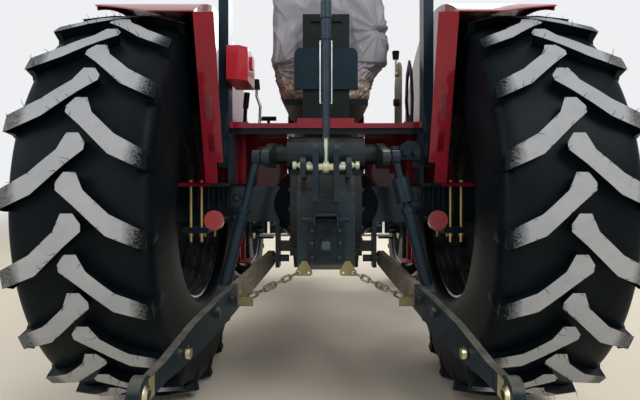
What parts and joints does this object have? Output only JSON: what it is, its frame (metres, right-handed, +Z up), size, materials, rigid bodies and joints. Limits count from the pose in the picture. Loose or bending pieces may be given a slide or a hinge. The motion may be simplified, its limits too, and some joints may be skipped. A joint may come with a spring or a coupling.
{
  "type": "farm tractor",
  "caption": "Four-wheel-drive farm tractor with a roll bar, sheet fenders, tilting hood and a rear three-point hitch.",
  "frame": {"origin": "on the ground under the middle of the machine's bounding box", "axes": "+Z up, +Y forward in the direction of travel, +X to the tractor's right"},
  "size_m": [1.792, 3.738, 2.44],
  "materials": {
    "slate_paint": "satin",
    "zinc_plate": "satin",
    "black_plastic": "satin",
    "dark_casting": "satin",
    "red_paint": "gloss",
    "rim_paint": "gloss",
    "tyre": "matt",
    "lamp_glass": "gloss",
    "radiator_fins": "matt",
    "red_lens": "gloss",
    "seat_cover": "gloss",
    "machined_steel": "satin"
  },
  "bodies": {
    "root": {"axle_clamp_left": "slate_paint", "axle_clamp_right": "slate_paint", "control_levers": "black_plastic", "dashboard": "black_plastic", "engine": "dark_casting", "exhaust": "slate_paint", "fender_left": "red_paint", "fender_right": "red_paint", "front_axle": "dark_casting", "front_frame": "slate_paint", "gearbox_housing": "dark_casting", "grille": "black_plastic", "hitch_hardware": "zinc_plate", "platform": "red_paint", "pto": "dark_casting", "radiator": "radiator_fins", "rear_axle_housing": "dark_casting", "reflectors": "red_lens", "remote_valve": "slate_paint", "rops": "slate_paint", "seat": "seat_cover", "seat_tower": "slate_paint", "toolbox": "red_paint", "top_link_bracket": "slate_paint"},
    "rear_wheel_left": {"rear_tyre_left": "tyre", "rear_rim_left": "rim_paint"},
    "rear_wheel_right": {"rear_tyre_right": "tyre", "rear_rim_right": "rim_paint"},
    "knuckle_left": {"knuckle_left": "dark_casting"},
    "knuckle_right": {"knuckle_right": "dark_casting"},
    "front_wheel_left": {"front_tyre_left": "tyre", "front_rim_left": "rim_paint"},
    "front_wheel_right": {"front_tyre_right": "tyre", "front_rim_right": "rim_paint"},
    "tie_rod": {"tie_rod": "machined_steel"},
    "steering_wheel": {"steering_wheel": "black_plastic"},
    "hood": {"hood": "red_paint", "headlamps": "lamp_glass"},
    "toolbox_lid": {"toolbox_lid": "red_paint"},
    "lift_arms": {"lift_arms": "dark_casting"},
    "lift_rod_left": {"lift_rod_left": "dark_casting"},
    "lift_rod_right": {"lift_rod_right": "dark_casting"},
    "lower_link_left": {"lower_link_left": "dark_casting"},
    "lower_link_right": {"lower_link_right": "dark_casting"},
    "chain_left": {"chain_left": "zinc_plate"},
    "chain_right": {"chain_right": "zinc_plate"},
    "top_link": {"top_link": "zinc_plate"}
  },
  "joints": [
    {"name": "rear_wheel_left_spin", "type": "hinge", "parent": "root", "child": "rear_wheel_left", "pos_m": [-0.682, -0.86, 0.737], "axis": [1, 0, 0], "continuous": true},
    {"name": "rear_wheel_right_spin", "type": "hinge", "parent": "root", "child": "rear_wheel_right", "pos_m": [0.682, -0.86, 0.737], "axis": [1, 0, 0], "continuous": true},
    {"name": "steer_left", "type": "hinge", "parent": "root", "child": "knuckle_left", "pos_m": [-0.53, 1.19, 0.48], "axis": [0, 0, 1], "range_deg": [-45, 45]},
    {"name": "steer_right", "type": "hinge", "parent": "root", "child": "knuckle_right", "pos_m": [0.53, 1.19, 0.48], "axis": [0, 0, 1], "range_deg": [-45, 45]},
    {"name": "tie_rod_pivot", "type": "hinge", "parent": "knuckle_left", "child": "tie_rod", "pos_m": [-0.53, 1, 0.434], "axis": [0, 0, 1], "range_deg": [-45, 45]},
    {"name": "front_wheel_left_spin", "type": "hinge", "parent": "knuckle_left", "child": "front_wheel_left", "pos_m": [-0.7, 1.19, 0.48], "axis": [1, 0, 0], "continuous": true},
    {"name": "front_wheel_right_spin", "type": "hinge", "parent": "knuckle_right", "child": "front_wheel_right", "pos_m": [0.7, 1.19, 0.48], "axis": [1, 0, 0], "continuous": true},
    {"name": "steering_wheel_turn", "type": "hinge", "parent": "root", "child": "steering_wheel", "pos_m": [0, -0.04, 1.41], "axis": [0, -0.6157, 0.788], "continuous": true},
    {"name": "hood_tilt", "type": "hinge", "parent": "root", "child": "hood", "pos_m": [0, 1.69, 0.925], "axis": [-1, 0, 0], "range_deg": [0, 55]},
    {"name": "toolbox_lid_hinge", "type": "hinge", "parent": "root", "child": "toolbox_lid", "pos_m": [-0.369, -0.97, 1.335], "axis": [0, -1, 0], "range_deg": [0, 85]},
    {"name": "hitch_lift", "type": "hinge", "parent": "root", "child": "lift_arms", "pos_m": [0, -0.97, 0.935], "axis": [-1, 0, 0], "range_deg": [-10, 42]},
    {"name": "lower_link_left_pivot", "type": "hinge", "parent": "root", "child": "lower_link_left", "pos_m": [-0.223, -0.91, 0.518], "axis": [-1, 0, 0], "range_deg": [-7, 28]},
    {"name": "lift_rod_left_pivot", "type": "hinge", "parent": "lift_arms", "child": "lift_rod_left", "pos_m": [-0.238, -1.21, 0.905], "axis": [-1, 0, 0], "range_deg": [-39, 10]},
    {"name": "chain_left_swing", "type": "hinge", "parent": "root", "child": "chain_left", "pos_m": [-0.091, -1.276, 0.521], "axis": [0, 1, 0], "range_deg": [-14, 56]},
    {"name": "lower_link_right_pivot", "type": "hinge", "parent": "root", "child": "lower_link_right", "pos_m": [0.223, -0.91, 0.518], "axis": [-1, 0, 0], "range_deg": [-7, 28]},
    {"name": "lift_rod_right_pivot", "type": "hinge", "parent": "lift_arms", "child": "lift_rod_right", "pos_m": [0.238, -1.21, 0.905], "axis": [-1, 0, 0], "range_deg": [-39, 10]},
    {"name": "chain_right_swing", "type": "hinge", "parent": "root", "child": "chain_right", "pos_m": [0.091, -1.276, 0.521], "axis": [0, -1, 0], "range_deg": [-14, 56]},
    {"name": "top_link_swing", "type": "hinge", "parent": "root", "child": "top_link", "pos_m": [0, -1.312, 0.867], "axis": [1, 0, 0], "range_deg": [0, 100]}
  ],
  "couplings": [
    {"joint": "steer_right", "follows": "steer_left", "ratio": 1},
    {"joint": "tie_rod_pivot", "follows": "steer_left", "ratio": -1},
    {"joint": "lower_link_left_pivot", "follows": "hitch_lift", "ratio": 0.653},
    {"joint": "lift_rod_left_pivot", "follows": "hitch_lift", "ratio": -0.9224},
    {"joint": "chain_left_swing", "follows": "hitch_lift", "ratio": 1.3},
    {"joint": "lower_link_right_pivot", "follows": "hitch_lift", "ratio": 0.653},
    {"joint": "lift_rod_right_pivot", "follows": "hitch_lift", "ratio": -0.9224},
    {"joint": "chain_right_swing", "follows": "hitch_lift", "ratio": 1.3}
  ]
}
